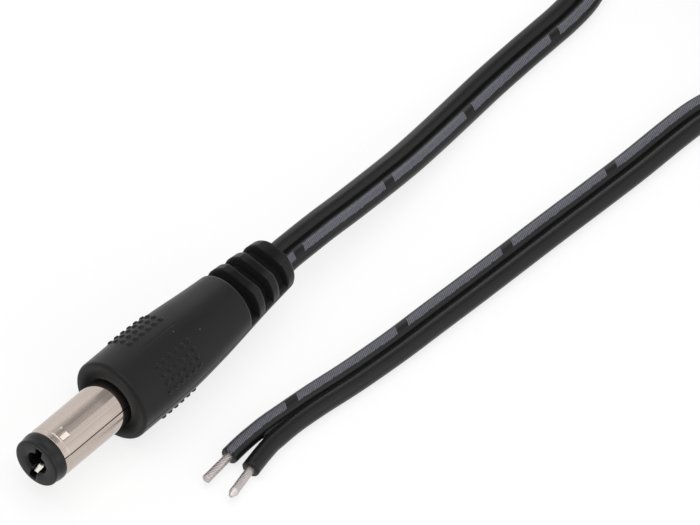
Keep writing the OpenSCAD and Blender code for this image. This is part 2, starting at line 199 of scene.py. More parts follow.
def node(tree, kind, inputs=None, **settings):
    """A new node with its settings, its plain input values and its links."""
    made = tree.nodes.new("ShaderNode" + kind)
    for key, value in settings.items():
        setattr(made, key, value)
    for socket, value in (inputs or {}).items():
        if isinstance(value, bpy.types.NodeSocket):
            tree.links.new(value, made.inputs[socket])
        else:
            made.inputs[socket].default_value = value
    return made


def math_node(tree, operation, a, b=0.0):
    """One step of arithmetic on two sockets or numbers."""
    return node(tree, "Math", {0: a, 1: b}, operation=operation).outputs[0]


def times(tree, a, b):
    """Product of two sockets or numbers."""
    return math_node(tree, "MULTIPLY", a, b)


def object_place(tree):
    """Object coordinates, in metres."""
    return node(tree, "TexCoord").outputs["Object"]


def parts(tree, vector):
    """The X, Y and Z sockets of a vector."""
    return node(tree, "SeparateXYZ", {0: vector}).outputs


def uv_parts(tree):
    """The two numbers that the UV map holds, as the sockets X and Y."""
    return parts(tree, node(tree, "UVMap", uv_map="UVMap").outputs[0])


def noise(tree, scale, stretch=(1, 1, 1), detail=3.0, roughness=0.5):
    """Noise on Object coordinates, in millimetres, drawn out along the axes by stretch."""
    scaled = node(tree, "Mapping", {"Vector": object_place(tree),
                                    "Scale": [1 / MM / s for s in stretch]})
    return node(tree, "TexNoise", {"Vector": scaled.outputs[0], "Scale": scale, "Detail": detail,
                                   "Roughness": roughness}).outputs["Fac"]


def between(tree, value, low, high, to_low, to_high):
    """Maps a value from one range to another, clamped."""
    return node(tree, "MapRange", {"Value": value, "From Min": low, "From Max": high,
                                   "To Min": to_low, "To Max": to_high}).outputs[0]


def mix_colors(tree, factor, a, b):
    """A colour between a and b."""
    return node(tree, "Mix", {"Factor": factor, "A": a, "B": b}, data_type="RGBA").outputs["Result"]


def coat(tree, shader, color, roughness, height, distance, strength):
    """Links colour and roughness to the shader, and a bump by a height. distance is in mm."""
    bump = node(tree, "Bump", {"Height": height, "Distance": distance * MM, "Strength": strength})
    for socket, value in {"Base Color": color, "Roughness": roughness,
                          "Normal": bump.outputs["Normal"]}.items():
        tree.links.new(value, shader.inputs[socket])


def plain_finish(name, color, roughness, grain=0.15, grain_size=0.6, tint=0.12, **sockets):
    """A finish whose colour and roughness drift a little with noise, with a fine grain."""
    material, tree, shader = finish(name, color, roughness, **sockets)
    drift = noise(tree, 1 / grain_size)
    dark, light = ([c * k for c in color] + [1] for k in (1 - tint, 1 + tint))
    coat(tree, shader, mix_colors(tree, drift, dark, light),
         between(tree, drift, 0.3, 0.7, roughness * 0.9, roughness * 1.1),
         noise(tree, 14), 0.01, grain)
    return material


# %% [markdown]
# ## Nickel, black plastic and the hidden pieces
# The barrel is rolled from plated sheet: it shines softly, with faint lines from the drawing tool.
# The nose is a hard black plastic with a satin face. The pieces inside the plug are never seen
# once it is moulded, yet each one gets the finish of its own stuff.

# %% Finishes of the metal and the hard plastic
SEAM_TURN = 54.5
BRIGHT_START, BRIGHT_FULL, BRIGHT_ROUGHNESS = 8.6, 10.2, 0.12


def seam_mask(tree, place):
    """1 on the rolled sleeve's seam. The distance from the seam's plane through the axis is
    y cos(turn) + z sin(turn), and only the side where y is negative counts."""
    sin, cos = np.sin(np.radians(SEAM_TURN)), np.cos(np.radians(SEAM_TURN))
    height = math_node(tree, "SUBTRACT", place["Z"], axis_z * MM)
    off = math_node(tree, "ADD", times(tree, place["Y"], cos), times(tree, height, sin))
    near = between(tree, math_node(tree, "ABSOLUTE", off), 0.03 * MM, 0.075 * MM, 1, 0)
    return times(tree, near, between(tree, place["Y"], -1 * MM, 0, 1, 0))


def nickel_finish():
    """Warm plated metal. Noise drawn out along X gives the drawing lines. They fade out towards
    the handle, where the sheet is bright and mirrors the black moulding, and the seam is brown."""
    material, tree, shader = finish("nickel_barrel", (0.50, 0.42, 0.37), 0.24, Metallic=1.0)
    place = parts(tree, object_place(tree))
    lines = noise(tree, 1.0, (26, 0.22, 0.22), detail=4)
    stains = noise(tree, 1.0, (3, 2, 2), detail=2)
    tint = mix_colors(tree, stains, (0.50, 0.43, 0.385, 1), (0.46, 0.385, 0.33, 1))
    metal = mix_colors(tree, between(tree, lines, 0.3, 0.7, 0, 1), tint, (0.545, 0.475, 0.43, 1))
    color = mix_colors(tree, seam_mask(tree, place), metal, (0.16, 0.12, 0.09, 1))
    drawn = between(tree, place["X"], (nose_x + BRIGHT_START) * MM, (nose_x + BRIGHT_FULL) * MM,
                    1, BRIGHT_ROUGHNESS)
    roughness = times(tree, drawn, between(tree, lines, 0.3, 0.7, 0.2, 0.3))
    coat(tree, shader, color, roughness, times(tree, drawn, lines), 0.004, 0.35)
    return material


nickel = nickel_finish()
nose_black = plain_finish("nose_plastic", (0.0095, 0.009, 0.009), 0.36, grain=0.25,
                          grain_size=1.2, Specular_IOR_Level=0.26)
spring_metal = plain_finish("spring_contact", (0.86, 0.83, 0.76), 0.28, Metallic=1.0)
inner_white = plain_finish("inner_plastic", (0.78, 0.75, 0.68), 0.45)
solder_grey = plain_finish("solder", (0.66, 0.67, 0.68), 0.3, grain=0.4, Metallic=1.0)
tinned = plain_finish("tinned_copper", (0.5, 0.46, 0.45), 0.4, grain=0.5, grain_size=0.35,
                      Metallic=1.0)
tie_plastic = plain_finish("tie_plastic", (0.035, 0.035, 0.036), 0.5)


def dress(name, material):
    """Gives a CAD piece that stays as it is its own finish."""
    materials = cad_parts[name].data.materials
    materials.clear()
    materials.append(material)


for name, material in {"centre_contact": spring_metal, "rear_bush": inner_white,
                       "sleeve_tag": nickel, "solder_centre": solder_grey,
                       "solder_sleeve": solder_grey, "conductor_marked": tinned,
                       "conductor_plain": tinned, "inner_mould": inner_white}.items():
    dress(name, material)
print("finishes so far:", sorted(m.name for m in bpy.data.materials))

# %% [markdown]
# ## The lead's route
# The lead is one flat cord from the handle to the place where its cores part. The CAD source's own
# points guide it: out of the handle and down to the surface, a turn on edge, the coil, and back.
# Each is x, y, z and the roll of the flat section, and a Catmull-Rom curve passes through all.

# %% Route points of the two free runs
CORE_R, CORE_Y = 0.95, 0.9

plug_side = np.array([
    [18.62, 0, 4.55, 0], [20, 0, 4.55, 0], [22.2, 0, 4.514, 0], [26, 0, 4.298, 0],
    [30, 0, 3.83, 0], [35, 0.1, 3.182, 0], [40, 0.3, 2.498, 0], [45, 0.7, 1.814, 0],
    [50, 1.15, 1.238, 0], [55, 1.5, 0.986, 0], [60, 1.65, CORE_R, 0],
    [64, 1.7, CORE_R, 0], [67, 1.75, CORE_R, 0], [70, 2, CORE_R, 0], [72.5, 2.6, 1.12, 8],
    [75, 3.5, 1.39, 24], [77.5, 4.6, 1.62, 44], [80, 5.75, 1.84, 64], [83, 7.15, 1.99, 82]])
free_side = np.array([
    [83.7, -21.5, 5.4, 82], [81, -20.3, 4.5, 64], [78.5, -19.2, 3.45, 42], [76, -18.1, 2.4, 20],
    [73.5, -17.05, 1.5, 5], [71, -16.2, 1.05, 0], *([x, y, CORE_R, 0] for x, y in (
        (68, -15.6), (64, -15.4), (58, -15.3), (52, -15.05), (46, -14.75), (40, -14.5),
        (34, -14.25), (28, -13.95), (22, -13.65), (16, -13.15), (11, -12.55), (7, -12.2),
        (4.4, -12.1), (3.6, -12.1)))])

# The strain relief is bent a little to the side, and the lead steps aside with it
SIDESTEP = 0.12
plug_side[1:, 1] += SIDESTEP


def catmull_rom(points, step):
    """Smooth curve through the points, as one array: between two of them, a cubic whose slope at
    each end is half the step from the point before to the point after. Spaced by about step."""
    padded = np.vstack([2 * points[0] - points[1], points, 2 * points[-1] - points[-2]])
    pieces = []
    for p0, p1, p2, p3 in zip(padded, padded[1:], padded[2:], padded[3:]):
        t = np.linspace(0, 1, max(2, int(np.linalg.norm(p2[:3] - p1[:3]) / step)) + 1)[:-1, None]
        pieces.append(0.5 * (2 * p1 + (p2 - p0) * t + (2 * p0 - 5 * p1 + 4 * p2 - p3) * t ** 2
                             + (3 * p1 - p0 - 3 * p2 + p3) * t ** 3))
    return np.vstack(pieces + [points[-1:]])


# %% [markdown]
# ## The coil
# The lead's unseen length is wound on edge into two flat layers of six turns, one on the other.
# A turn keeps its radius and slips one column over in its last eighth, so neighbours lie side by
# side all the way round. The first layer runs inwards, climbs, and the second runs out again.

# %% Coil route
COIL_CENTRE = np.array([108.0, -7.0])
COIL_R, TURN_PITCH, COLUMNS = 18.6, 1.95, 6
LAYER_Z = (2.2, 5.95)
ENTRY_ANGLE, EXIT_ANGLE, FULL_TURNS = 115.0, -115.0, 11
SLIP, TAIL, TAIL_STEP = 0.12, 12.0, 3
outer_r = COIL_R + TURN_PITCH * (COLUMNS - 1) / 2


def smooth(t):
    """0 below 0, 1 above 1, and 3t^2 - 2t^3 between."""
    t = np.clip(t, 0, 1)
    return t * t * (3 - 2 * t)


def coil_route():
    """Points of the wound turns, clockwise from above. Each layer has half of the turns."""
    turns = FULL_TURNS + (ENTRY_ANGLE - EXIT_ANGLE) / 360
    half = turns / 2
    t = np.linspace(0, turns, int(turns * 64))
    inward = outer_r - TURN_PITCH * (np.floor(t) + smooth((t % 1 - 1 + SLIP) / SLIP))
    back = np.maximum(t - half, 0)
    inner_r = outer_r - TURN_PITCH * (COLUMNS - 1)
    outward = inner_r + TURN_PITCH * (np.floor(back) + smooth((back % 1 - 1 + SLIP) / SLIP))
    r = np.where(t < half, np.maximum(inward, inner_r), outward)
    z = LAYER_Z[0] + (LAYER_Z[1] - LAYER_Z[0]) * smooth((t - half + SLIP) / SLIP)
    angle = np.radians(ENTRY_ANGLE - 360 * t)
    return np.column_stack([COIL_CENTRE[0] + r * np.cos(angle), COIL_CENTRE[1] + r * np.sin(angle),
                            z, np.full(len(t), 90.0)])


coil = coil_route()


def tail_points(end, before):
    """Points on from the coil's end along its own direction, evenly over the tail's length."""
    direction = (end - before)[:2] / np.linalg.norm((end - before)[:2])
    steps = np.arange(TAIL_STEP, TAIL + 0.1, TAIL_STEP)[:, None]
    flat = end[None, :2] + direction * steps
    return np.column_stack([flat, np.full(len(steps), end[2]), np.full(len(steps), 90.0)])


entry_tail = tail_points(coil[0], coil[1])[::-1]
exit_tail = tail_points(coil[-1], coil[-2])
before_coil = catmull_rom(np.vstack([plug_side, entry_tail, coil[:1]]), 0.5)
after_coil = catmull_rom(np.vstack([coil[-1:], exit_tail, free_side]), 0.5)
route = np.vstack([before_coil[:-1], coil, after_coil[1:]])
lowest = CORE_R + CORE_Y * np.abs(np.sin(np.radians(route[:, 3])))
route[:, 2] = np.maximum(route[:, 2], lowest)


def lengths_along(points):
    """Distance travelled at each point."""
    return np.concatenate([[0], np.cumsum(np.linalg.norm(np.diff(points[:, :3], axis=0), axis=1))])


along = lengths_along(route)
lead_length = along[-1]
print("lead from handle to crotch in mm:", round(lead_length, 1),
      "of it before the coil:", round(lengths_along(before_coil)[-1], 1),
      "after it:", round(lengths_along(after_coil)[-1], 1))

# %% [markdown]
# ## The flat twin lead
# Its section is a figure of eight: two round cores joined by a thin web. It is carried along the
# route, turned by the roll at each point. The UV pair holds the printed length and the way round
# the core, both in millimetres, and the stripe is drawn from those two numbers. Near the crotch
# the web has been pulled, so the cores lie a little further apart. There the section also shrinks
# by a hair, so that no edge shows where the two legs begin.

# %% Lead surface
WEB_H = 0.31
PLAIN_CORE_V = 20.0
LEAD_INSIDE = 0.8
SPREAD, SPREAD_REACH = 0.13, 4.5
LEAD_SINK, SINK_REACH = 0.02, 0.6


def twin_section(per_core=24):
    """Points of the figure of eight and each point's way round its core from the top, in mm.
    The plain core is at +CORE_Y, the marked one at -CORE_Y, and each arc stops at the web."""
    opening = np.degrees(np.arcsin(WEB_H / CORE_R))
    arc = np.linspace(-180 + opening, 180 - opening, per_core)
    angle = np.radians(np.concatenate([arc, arc + 180]))
    side = np.repeat([1, -1], per_core)
    points = np.column_stack([side * CORE_Y + CORE_R * np.cos(angle), CORE_R * np.sin(angle)])
    return points, (angle - np.pi / 2) * CORE_R + PLAIN_CORE_V * (side > 0)


def sweep(path, section, roll=0.0):
    """Carries a section along a path. side is square to the path and level, up is square to both,
    and the roll turns the section about the path. Returns points shaped path, section and 3."""
    centre = path[:, :3]
    tangent = np.gradient(centre, axis=0)
    tangent /= np.linalg.norm(tangent, axis=1, keepdims=True)
    side = np.cross([0, 0, 1], tangent)
    side /= np.linalg.norm(side, axis=1, keepdims=True)
    up = np.cross(tangent, side)
    angle = np.radians(np.broadcast_to(roll, len(path)))[:, None]
    section = np.broadcast_to(section, (len(path),) + section.shape[-2:])
    a = section[..., 0] * np.cos(angle) - section[..., 1] * np.sin(angle)
    b = section[..., 0] * np.sin(angle) + section[..., 1] * np.cos(angle)
    return centre[:, None] + a[..., None] * side[:, None] + b[..., None] * up[:, None]


def closed_ends(points):
    """Adds a row at each end that is gathered to the middle of that end, so the tube is closed."""
    first = np.broadcast_to(points[0].mean(0), points[0].shape)
    last = np.broadcast_to(points[-1].mean(0), points[-1].shape)
    return np.concatenate([first[None], points, last[None]])


def tube_uv(u, v):
    """UV grid of a tube with closed ends: u along it, v round it, with one more column to wrap."""
    u = np.concatenate([u[:1], u, u[-1:]])
    v = np.concatenate([v, v[:1]])
    return np.stack(np.meshgrid(u, v, indexing="ij"), axis=-1)


# %% [markdown]
# ## The printed stripe
# One core carries a broken grey stripe with a fine slanting hatch, whose dashes repeat all along
# the lead. The wheel that prints it slips a little, so printed length is not quite true length.

# %% Stripe finish and the lead
DASH_PERIOD, DASH_LENGTH = 15.7, 14.1
FIRST_DASH, LAST_DASH, WHEEL_SLIP = 3.4, 11.7, 0.08
STRIPE_W, STRIPE_V, HATCH_PITCH, HATCH_SLANT = 0.84, 0.1, 0.23, 0.55


def printed_length():
    """Printed length at each point of the route. FIRST_DASH is left of a period at the handle. The
    wheel's slip makes the dashes shorter before the coil, and in the coil the length is shifted
    smoothly, so that LAST_DASH is left of a period at the crotch."""
    before = lengths_along(before_coil)[-1]
    start = DASH_PERIOD - FIRST_DASH
    total = start + lead_length + WHEEL_SLIP * before
    end = np.ceil(total / DASH_PERIOD) * DASH_PERIOD - LAST_DASH
    shift = smooth((along - before) / lengths_along(coil)[-1])
    return start + along + WHEEL_SLIP * np.minimum(along, before) + shift * (end - total)


def jacket_finish():
    """Satin black jacket with the printed stripe: inside a band round the top of the marked core,
    inside each dash, and crossed by a slanting hatch."""
    material, tree, shader = finish("cord_jacket", (0.006, 0.006, 0.0068), 0.3,
                                    Specular_IOR_Level=0.3)
    uv = uv_parts(tree)
    u, v = uv["X"], uv["Y"]
    wander = between(tree, noise(tree, 2.5), 0.3, 0.7, -0.05, 0.05)
    off_middle = math_node(tree, "ADD", math_node(tree, "SUBTRACT", v, STRIPE_V), wander)
    in_band = between(tree, math_node(tree, "ABSOLUTE", off_middle),
                      STRIPE_W / 2 - 0.02, STRIPE_W / 2 + 0.05, 1, 0)
    slanted = math_node(tree, "ADD", u, times(tree, v, HATCH_SLANT))
    dash = math_node(tree, "MODULO", slanted, DASH_PERIOD)
    in_dash = between(tree, dash, DASH_LENGTH - 0.05, DASH_LENGTH + 0.05, 1, 0)
    wave = math_node(tree, "SINE", times(tree, slanted, 2 * np.pi / HATCH_PITCH))
    hatch = between(tree, wave, -0.8, 0.5, 0.35, 1)
    worn = between(tree, noise(tree, 5, detail=4), 0.35, 0.6, 0.72, 1)
    print_mask = times(tree, times(tree, times(tree, in_band, in_dash), hatch), worn)
    drift = noise(tree, 1.0, (3, 3, 3))
    jacket = mix_colors(tree, drift, (0.0045, 0.0042, 0.0046, 1), (0.0072, 0.0067, 0.0074, 1))
    color = mix_colors(tree, print_mask, jacket, (0.19, 0.19, 0.228, 1))
    roughness = math_node(tree, "ADD", between(tree, drift, 0.3, 0.7, 0.33, 0.39),
                          times(tree, print_mask, 0.12))
    coat(tree, shader, color, roughness, noise(tree, 9, detail=4), 0.012, 0.3)
    return material


jacket = jacket_finish()
dress("cord_in_plug", jacket)
section, round_v = twin_section()
printed = printed_length()
path = np.vstack([route[:1] - [LEAD_INSIDE, 0, 0, 0], route])
to_end = (lengths_along(path)[-1] - lengths_along(path))[:, None, None]
core_middle = np.column_stack([np.sign(section[:, 0]) * CORE_Y, 0 * section[:, 0]])
ending = core_middle * (1 + SPREAD / CORE_Y * smooth(1 - to_end / SPREAD_REACH))
ending = ending + (section - core_middle) * (1 - LEAD_SINK * smooth(1 - to_end / SINK_REACH))
lead = make_piece("lead", [{
    "points": closed_ends(sweep(path, ending, path[:, 3])),
    "uv": tube_uv(np.concatenate([[printed[0] - LEAD_INSIDE], printed]), round_v)}], jacket)
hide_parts("cord_plug_run", "cord_coil", "cord_free_run")

# %% [markdown]
# ## The parted cores
# At the crotch the web has been torn, and each core goes its own way as a round tube. A thin line
# of torn web stays along its inner side, and its insulation ends in a cut face.

# %% Legs
CROTCH = np.array([3.6, -12.1, CORE_R])
MARKED_TIP, MARKED_HEADING = np.array([-0.84, -11.22, CORE_R]), 184.5
PLAIN_TIP, PLAIN_HEADING = np.array([-0.49, -13.78, CORE_R]), 191.5
LEG_Y, LEG_START, LEG_STRAIGHT = CORE_Y + SPREAD, 0.6, 0.8
TORN_H, TORN_ANGLE = 0.05, 0.16
LEG_SHRINK, CUT_SHRINK = 0.03, 0.05


def heading_vector(degrees):
    """Level unit vector that points this way, counted from +X towards +Y."""
    return np.array([np.cos(np.radians(degrees)), np.sin(np.radians(degrees)), 0])


def leg_path(middle, tip, heading, side):
    """Smooth line from inside the crotch to the core's cut end."""
    start = CROTCH + [LEG_START, side * LEG_Y, 0]
    ends = [tip - LEG_STRAIGHT * heading_vector(heading), tip]
    return catmull_rom(np.vstack([start, CROTCH + [-0.1, side * LEG_Y, 0], middle, ends]), 0.12)


def leg_section(inner_side):
    """Round core with a low ridge of torn web on its inner side."""
    angle = circle(40)
    off_ridge = (angle - inner_side + np.pi) % (2 * np.pi) - np.pi
    r = CORE_R + TORN_H * np.exp(-(off_ridge / TORN_ANGLE) ** 2)
    return np.column_stack([r * np.cos(angle), r * np.sin(angle)]), angle


def make_leg(name, path, inner_side, top_v, replaced):
    """Core tube. It starts a hair thinner inside the lead, and its last row rounds the cut edge."""
    section, angle = leg_section(inner_side)
    travelled = lengths_along(path)
    thickness = 1 - LEG_SHRINK + LEG_SHRINK * smooth(travelled / LEG_START)
    thickness[-1] = 1 - CUT_SHRINK
    points = sweep(path, section[None] * thickness[:, None, None])
    u = printed[-1] + travelled - LEG_START
    v = (angle - np.pi / 2) * CORE_R + top_v
    leg = make_piece(name, [{"points": closed_ends(points), "uv": tube_uv(u, v)}], jacket)
    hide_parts(replaced)
    return leg


marked_path = leg_path([[2.2, -11.06, CORE_R], [0.9, -11.1, CORE_R]], MARKED_TIP,
                       MARKED_HEADING, 1)
plain_path = leg_path([[2.2, -13.3, CORE_R], [1, -13.5, CORE_R]], PLAIN_TIP, PLAIN_HEADING, -1)
marked_leg = make_leg("marked_leg", marked_path, 0, 0, "leg_marked")
plain_leg = make_leg("plain_leg", plain_path, np.pi, PLAIN_CORE_V, "leg_plain")

# %% [markdown]
# ## The tinned ends
# The bared conductor is a bundle of fine wires, twisted and dipped in solder. Its section is a
# circle with shallow scallops, one for each outer wire, which turn with the twist.

# %% Tinned ends
STRANDS, TINNED_L, CONDUCTOR_R, TWIST_L, TIP_INSIDE = 11, 4.15, 0.48, 7.0, 0.5
SCALLOP, LUMP, WORN, POINTED = 0.022, 0.018, 0.012, 0.72


def tinned_surface(tip, heading, point_l, flat):
    """r = conductor radius less a scallop (1 - |sin|)^1.5 for each strand, with slow lumps of
    solder, times a taper over the last point_l. flat squeezes the point to a wedge. The first row
    lies inside the insulation, behind the cut face."""
    s = np.concatenate([[-TIP_INSIDE], np.linspace(0, TINNED_L, 90)])
    angle = circle(132)
    phase = (angle[None] - 2 * np.pi * s[:, None] / TWIST_L) * STRANDS / 2
    r = CONDUCTOR_R - SCALLOP * (1 - np.abs(np.sin(phase))) ** 1.5
    lumps = LUMP * np.sin(s * 2.1 + heading)[:, None] * np.cos(angle * 2 + s[:, None])
    end = smooth((s - TINNED_L + point_l) / point_l)[:, None]
    r = (r + lumps - WORN) * (1 - POINTED * end)
    section = np.stack([r * np.cos(angle) * (1 + flat * end), r * np.sin(angle)], axis=-1)
    path = tip + heading_vector(heading) * s[:, None]
    return closed_ends(sweep(path, section))


def make_tip(name, tip, heading, point_l, flat, replaced):
    """Twisted end piece in place of its CAD node."""
    points = tinned_surface(tip, heading, point_l, flat)
    piece = make_piece(name, [{"points": points}], tinned)
    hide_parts(replaced)
    return piece


marked_strands = make_tip("marked_strands", MARKED_TIP, MARKED_HEADING, 0.25, 0.2,
                          "tinned_tip_marked")
plain_strands = make_tip("plain_strands", PLAIN_TIP, PLAIN_HEADING, 0.9, 0.7, "tinned_tip_plain")

# %% [markdown]
# ## The coil's ties
# Two strips hold the coil. Each goes round the turns as a rounded rectangle with a wire's ridge
# along its middle, and its two ends are twisted together and lie flat on top.

# %% Ties
TIE_ANGLES, TIE_T, TIE_W = (100.0, 280.0), 0.35, 3.0
RING_LOW, RING_HIGH = COIL_R - TURN_PITCH * COLUMNS / 2, COIL_R + TURN_PITCH * COLUMNS / 2
RING_TOP = 7.85
TAIL_L, TAIL_LEAN, TAIL_TWIST, TAIL_HALF_W, TAIL_HALF_T = 9, 68, 3.2, 0.43, 0.2


def rounded_rectangle(low, high, bottom, top, corner):
    """Points round a rectangle whose corners are quarter circles, each cut into 39 even steps."""
    quarter = np.radians(np.linspace(0, 90, 40))
    centres = [(high - corner, top - corner), (low + corner, top - corner),
               (low + corner, bottom + corner), (high - corner, bottom + corner)]
    angles = [quarter + k * np.pi / 2 for k in range(4)]
    return np.vstack([np.column_stack([x + corner * np.cos(a), z + corner * np.sin(a)])
                      for (x, z), a in zip(centres, angles)])


def tie_loop(turn):
    """Strip round the ring at one angle. Across the strip, its outside is raised over the wire."""
    radial, sideways = heading_vector(turn), heading_vector(turn + 90)
    across = np.linspace(-1, 1, 13)
    ridge = TIE_T * (0.45 + 0.5 * np.exp(-(across / 0.2) ** 2))
    line = rounded_rectangle(RING_LOW - 0.1, RING_HIGH + 0.02, TIE_T, RING_TOP + 0.02, 0.7)
    tangent = np.roll(line, -1, axis=0) - np.roll(line, 1, axis=0)
    outward = np.column_stack([tangent[:, 1], -tangent[:, 0]])
    outward /= np.linalg.norm(outward, axis=1, keepdims=True)
    width = np.concatenate([across, across[::-1]]) * TIE_W / 2
    lift = np.concatenate([ridge, np.full(len(across), 0.02)])
    place = line[:, None] + outward[:, None] * lift[None, :, None]
    points = (place[..., :1] * radial + width[None, :, None] * sideways
              + place[..., 1:] * np.array([0, 0, 1]))
    return points + np.append(COIL_CENTRE, 0)


def tie_twist(turn):
    """The two ends of the strip twisted into a flat lying tail: an oval section that turns."""
    start = np.append(COIL_CENTRE, RING_TOP + TIE_T + 0.44) + heading_vector(turn) * (COIL_R - 1)
    s = np.linspace(0, TAIL_L, 110)
    path = start + heading_vector(turn + TAIL_LEAN) * s[:, None]
    angle = circle(20)
    oval = np.column_stack([TAIL_HALF_W * np.cos(angle), TAIL_HALF_T * np.sin(angle)])
    return closed_ends(sweep(path, oval, 360 * s / TAIL_TWIST))


ties = make_piece("ties", [g for turn in TIE_ANGLES for g in (
    {"points": tie_loop(turn), "wrap": (True, True)}, {"points": tie_twist(turn)})], tie_plastic)
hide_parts("coil_ties")

# %% [markdown]
# ## Declaring the cord
# The lead is a free cord of 1.5 m that leaves the handle's rear end. The legs and the tinned ends
# are at its far end, and the ties hold its coil. Here its length with one leg is printed.

# %% Cord length
leg_length = lengths_along(marked_path)[-1]
print("lead with a leg in mm:", round(lead_length + leg_length, 1))

# %% [markdown]
# ## The barrel
# The metal sleeve is a tube rolled from sheet. Its front has a slightly smaller lip that ends in a
# small bevel, and a butt seam runs along it. It is a profile turned about the axis, down the
# outside and back along the bore. The seam is a narrow groove in the radius, and two dents behind
# the lip are marks of the tool that formed it.

# %% Barrel sleeve
BARREL_R, BORE_R, SEAM_W, SEAM_DEPTH = 2.75, 2.4, 0.05, 0.12
MARK_START, MARK_END = 2.5, 3.55
WEDGE_TURN, WEDGE_W, WEDGE_DEPTH = 14.6, 0.66, 0.16
NOTCH_TURN, NOTCH_W, NOTCH_DEPTH = -3.8, 0.07, 0.12
FLANGE_START, FLANGE_END, FLANGE_R, ANCHOR_R = 13.3, 13.9, 3.2, 2.65


def sleeve_surface():
    """Rows are profile points (distance from the nose's face, radius); columns go round. Seam and
    notch take depth * exp(-(distance from the middle / width)^2) off the outside, and the wedge
    is a flat-bottomed dent, deepest at the lip."""
    outside = [(1.6, 2.66), (1.605, 2.69), (1.63, 2.7), (1.66, 2.7), (2.24, 2.7), (2.27, 2.7),
               (2.3, 2.71), (2.33, 2.74), (2.35, 2.75), (2.38, 2.75)]
    outside += [(x, BARREL_R) for x in (*np.arange(2.42, 3.9, 0.05), *np.linspace(4, 11.5, 16))]
    hidden = [(12.0, 2.72), (FLANGE_START, ANCHOR_R), (FLANGE_START, FLANGE_R),
              (FLANGE_END, FLANGE_R), (FLANGE_END, BORE_R), (8, BORE_R), (1.62, BORE_R),
              (1.6, 2.44)]
    profile = np.array(outside + hidden)
    turn = turn_samples(2.5, [(SEAM_TURN, 3, 0.25), (WEDGE_TURN, 10, 0.75), (NOTCH_TURN, 4, 0.5)])
    off_seam, off_wedge, off_notch = (round_distance(turn[None], middle, BARREL_R)
                                      for middle in (SEAM_TURN, WEDGE_TURN, NOTCH_TURN))
    x = profile[:, :1]
    marked = smooth((x - MARK_START) / 0.05 + 1) * np.clip((MARK_END - x) / 0.1, 0, 1)
    ramp = (MARK_END - x) / (MARK_END - MARK_START)
    marks = marked * (WEDGE_DEPTH * ramp * smooth((WEDGE_W / 2 - off_wedge) / 0.1)
                      + NOTCH_DEPTH * np.exp(-(off_notch / NOTCH_W) ** 2))
    seam = SEAM_DEPTH * np.exp(-(off_seam / SEAM_W) ** 2)
    is_outside = (np.arange(len(profile)) < len(outside))[:, None]
    return around_axis(nose_x + x, profile[:, 1:] - (seam + marks) * is_outside, turn[None])


barrel = make_piece("barrel", [{"points": sleeve_surface(), "wrap": (True, True)}], nickel)
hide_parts("outer_sleeve")

# %% [markdown]
# ## The nose
# The black nose has a flat face, a waist and a collar that meets the metal. A round hole takes
# the jack's pin, and a slot across it gives the sprung contact room.

# %% Nose
HOLE_R, COUNTERSINK, SLOT_HALF_W, SLOT_HALF_L, HOLE_DEPTH = 1.15, 0.25, 0.4, 2.2, 2.8
CAVITY_R, LINER_R, LINER_END, BEVEL = 1.93, 2.38, 12.5, 0.03


def opening_edge(turn, hole_r):
    """Distance from the axis to the opening's edge: the hole's radius, or the slot where that
    reaches further. The slot is a rectangle, so its reach is min(w / |sin|, l / |cos|)."""
    sin, cos = unsigned(turn)
    return np.maximum(hole_r, np.minimum(SLOT_HALF_W / (sin + 1e-9), SLOT_HALF_L / (cos + 1e-9)))


def nose_surface():
    """Rows go from the liner's far end along the outside to the face, into the opening and back
    through the liner. Each row is a distance and a radius, or for the opening its edge."""
    turn = turn_samples(2.0, [(k * 180 + side * middle, reach, 0.25) for k in (0, 1)
                              for side in (-1, 1) for middle, reach in ((10.3, 2), (18.5, 4))])
    ones = np.ones(len(turn))
    outside = [(LINER_END, LINER_R), (1.58, LINER_R), (1.58, 2.74), (1.56, 2.765), (1.5, 2.78),
               (1.3, 2.78), (1.2, 2.775), (1.05, 2.76), (0.85, 2.725), (0.7, 2.695), (0.58, 2.68),
               (0.45, 2.675), (0.2, 2.67), (0.12, 2.655), (0.05, 2.61), (0.012, 2.54), (0, 2.47)]
    opening = [(0, HOLE_R + COUNTERSINK + 0.04), (0.02, HOLE_R + COUNTERSINK),
               (0.1, HOLE_R + 0.13), (COUNTERSINK, HOLE_R + 0.01), (0.35, HOLE_R),
               (HOLE_DEPTH, HOLE_R)]
    x = [x for x, _ in outside] + [x for x, _ in opening] + [HOLE_DEPTH, LINER_END]
    r = [r * ones for _, r in outside] + [opening_edge(turn, h) for _, h in opening]
    r[len(outside)] += BEVEL
    r += [CAVITY_R * ones, CAVITY_R * ones]
    return around_axis(nose_x + np.array(x)[:, None], np.array(r), turn[None])


nose = make_piece("nose", [{"points": nose_surface(), "wrap": (True, True)}], nose_black)
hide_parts("tip_insulator")

# %% [markdown]
# ## The contact's lips
# The sprung contact ends in two lips that flare, so that the jack's pin slides in. Their slope
# throws light back out of the black nose. Each is a flat section carried along a bent line.

# %% Contact lips
LIP_LINE = np.array([[0.5, 1.75], [0.82, 1.5], [1.15, 1.25], [1.5, 1.16], [2.0, 1.17]])
LIP_HALF_W, LIP_HALF_T = 0.33, 0.06


def lip_surface(side):
    """Strip above the axis (side 1) or below it (side -1). The section is a superellipse:
    |a / half width|^8 + |b / half thickness|^2 = 1, so its long sides are flat."""
    x, height = LIP_LINE.T
    line = np.column_stack([nose_x + x, 0 * x, axis_z + side * height])
    angle = circle(32)
    cos, sin = np.cos(angle), np.sin(angle)
    section = np.column_stack([LIP_HALF_W * np.sign(cos) * np.abs(cos) ** 0.25, LIP_HALF_T * sin])
    return closed_ends(sweep(catmull_rom(line, 0.05), section))


make_piece("contact_lips", [{"points": lip_surface(side)} for side in (1, -1)], spring_metal)

